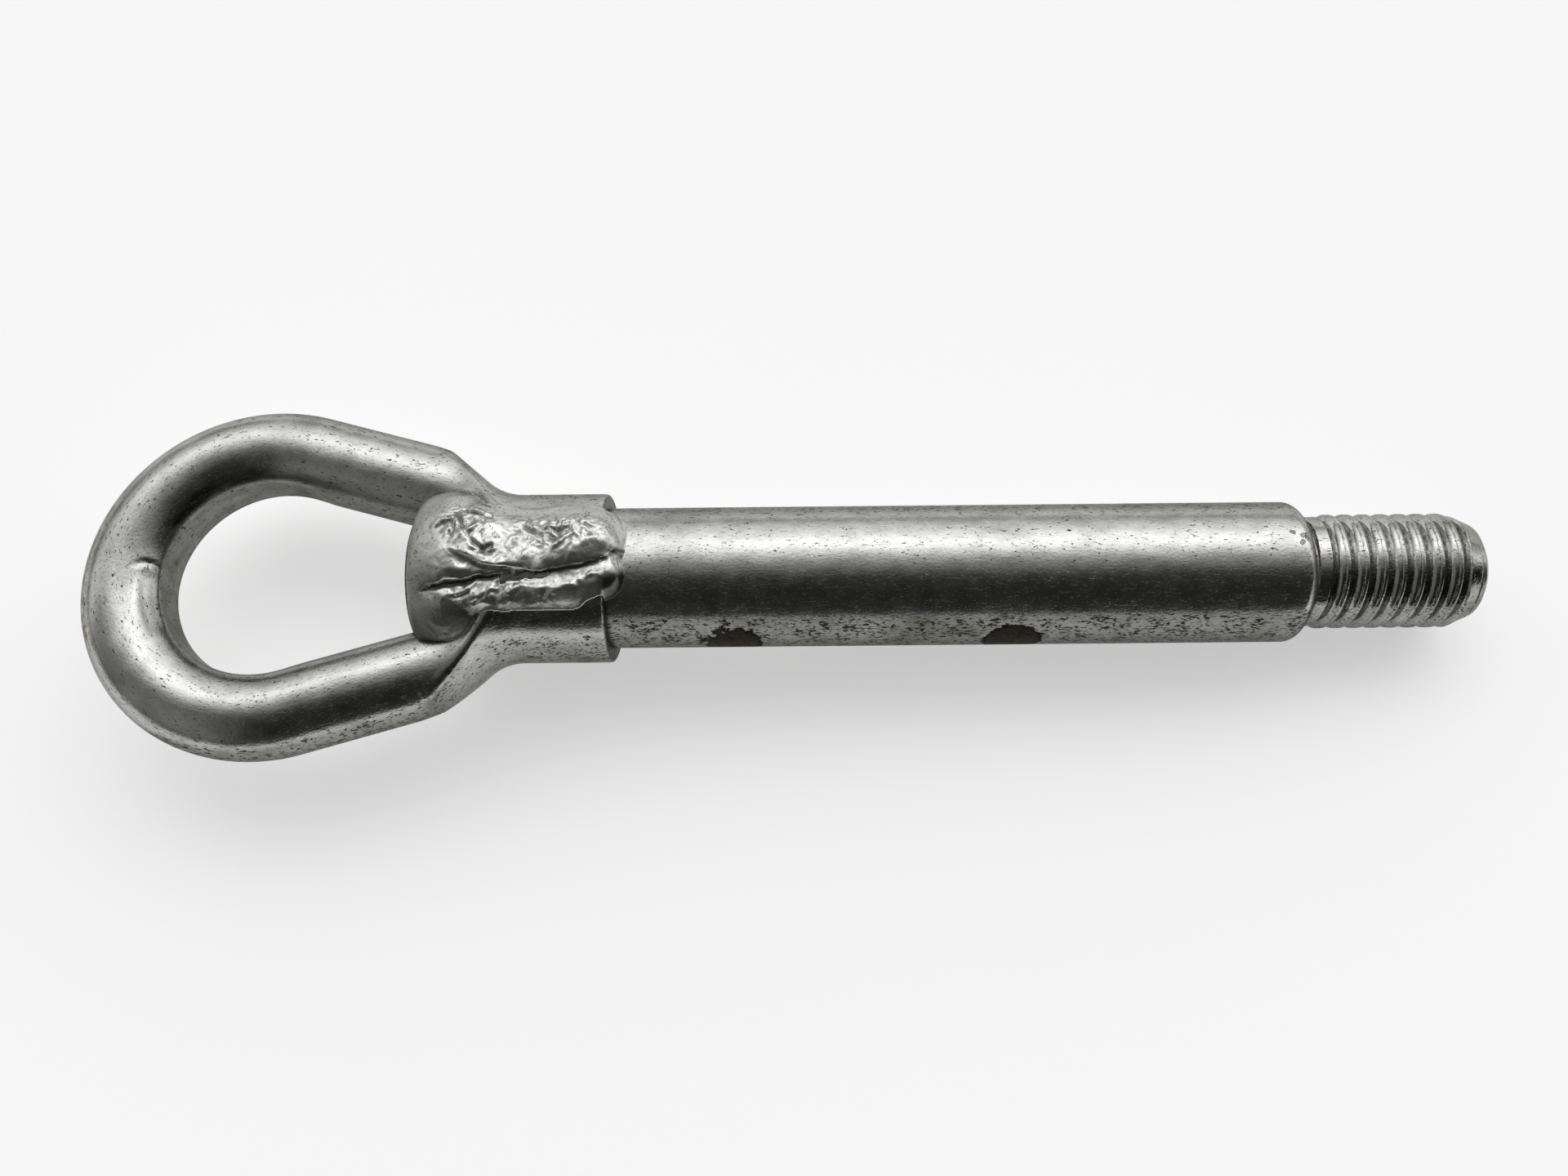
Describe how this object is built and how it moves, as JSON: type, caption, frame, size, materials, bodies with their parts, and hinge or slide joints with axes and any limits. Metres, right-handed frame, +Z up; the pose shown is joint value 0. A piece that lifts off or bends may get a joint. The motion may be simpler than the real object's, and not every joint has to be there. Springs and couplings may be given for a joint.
{
  "type": "tow eye",
  "caption": "Screw-in towing eye: bent rod loop with legs pressed and welded round a plain round shaft that ends in a shoulder and a left-hand thread.",
  "frame": {"origin": "centre of the shoulder, on the thread axis", "axes": "+X out through the threaded end, +Z up and square to the flat of the eye, with the visible weld on top"},
  "size_m": [0.1924, 0.0506, 0.0266],
  "materials": {
    "plated_steel": "zinc plated, worn satin",
    "weld_metal": "zinc plated over weld, bright and uneven"
  },
  "bodies": {
    "root": {"shaft": "plated_steel", "eye_loop": "plated_steel", "weld_front_upper": "weld_metal", "weld_front_lower": "weld_metal", "weld_back_upper": "weld_metal", "weld_back_lower": "weld_metal"}
  },
  "joints": []
}
